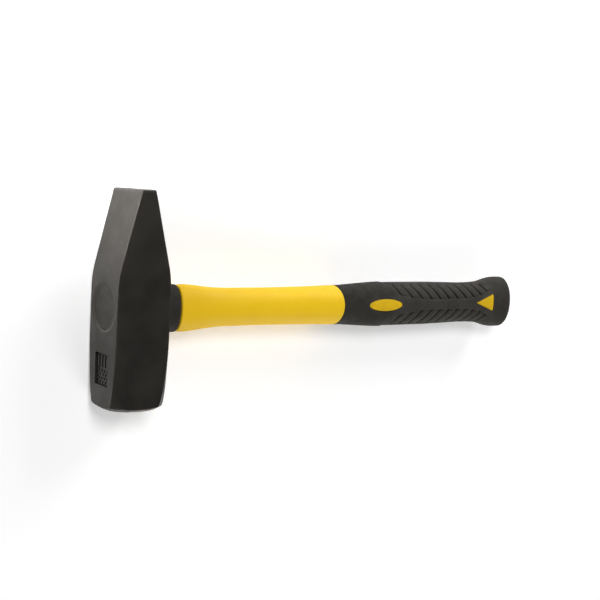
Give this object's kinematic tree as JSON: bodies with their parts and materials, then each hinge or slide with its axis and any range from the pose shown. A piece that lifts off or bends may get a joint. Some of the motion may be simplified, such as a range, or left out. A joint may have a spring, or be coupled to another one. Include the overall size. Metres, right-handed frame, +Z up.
{
  "type": "cross-pein hammer",
  "caption": "Cross-pein hammer: square forged steel head with a wedge-shaped pein, resin-potted in its eye on a moulded glass-fibre handle with a soft ribbed grip.",
  "frame": {"origin": "on the head's lower side face, straight under the centre of the eye, with the hammer lying on its side", "axes": "+X along the handle from the head to the end of the grip, +Y along the head to the pein with the striking face at -Y, +Z up, square to the head's side faces"},
  "size_m": [0.3442, 0.1368, 0.0388],
  "materials": {
    "head_steel": "satin",
    "eye_resin": "matte",
    "core_glass_fibre": "matte",
    "sleeve_rubber": "matte",
    "jacket_plastic": "satin",
    "grip_rubber": "matte"
  },
  "bodies": {
    "root": {"hammer_head": "head_steel", "eye_resin": "eye_resin", "handle_core": "core_glass_fibre", "neck_sleeve": "sleeve_rubber", "handle_jacket": "jacket_plastic", "grip": "grip_rubber"}
  },
  "joints": []
}
